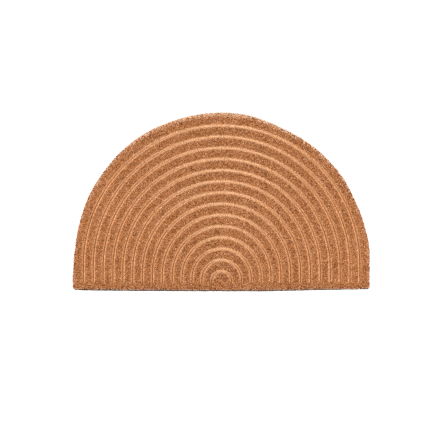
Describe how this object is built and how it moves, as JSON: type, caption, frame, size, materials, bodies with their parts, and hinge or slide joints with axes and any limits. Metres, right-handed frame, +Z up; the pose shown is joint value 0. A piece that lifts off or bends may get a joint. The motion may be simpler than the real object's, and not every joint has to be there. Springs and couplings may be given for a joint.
{
  "type": "doormat",
  "caption": "Half round coir doormat with arched grooves pressed one inside the other into its pile, on a thin non-slip backing sheet.",
  "frame": {"origin": "on the floor under the middle of the mat's bounding box", "axes": "+X along the straight edge, +Y from the straight edge towards the arched edge, +Z up out of the pile"},
  "size_m": [0.7518, 0.4516, 0.015],
  "materials": {
    "backing": "matt dark grey sheet",
    "coir": "natural upright coconut fibre, lighter where it is pressed"
  },
  "bodies": {
    "root": {"backing": "backing", "pile": "coir"}
  },
  "joints": []
}
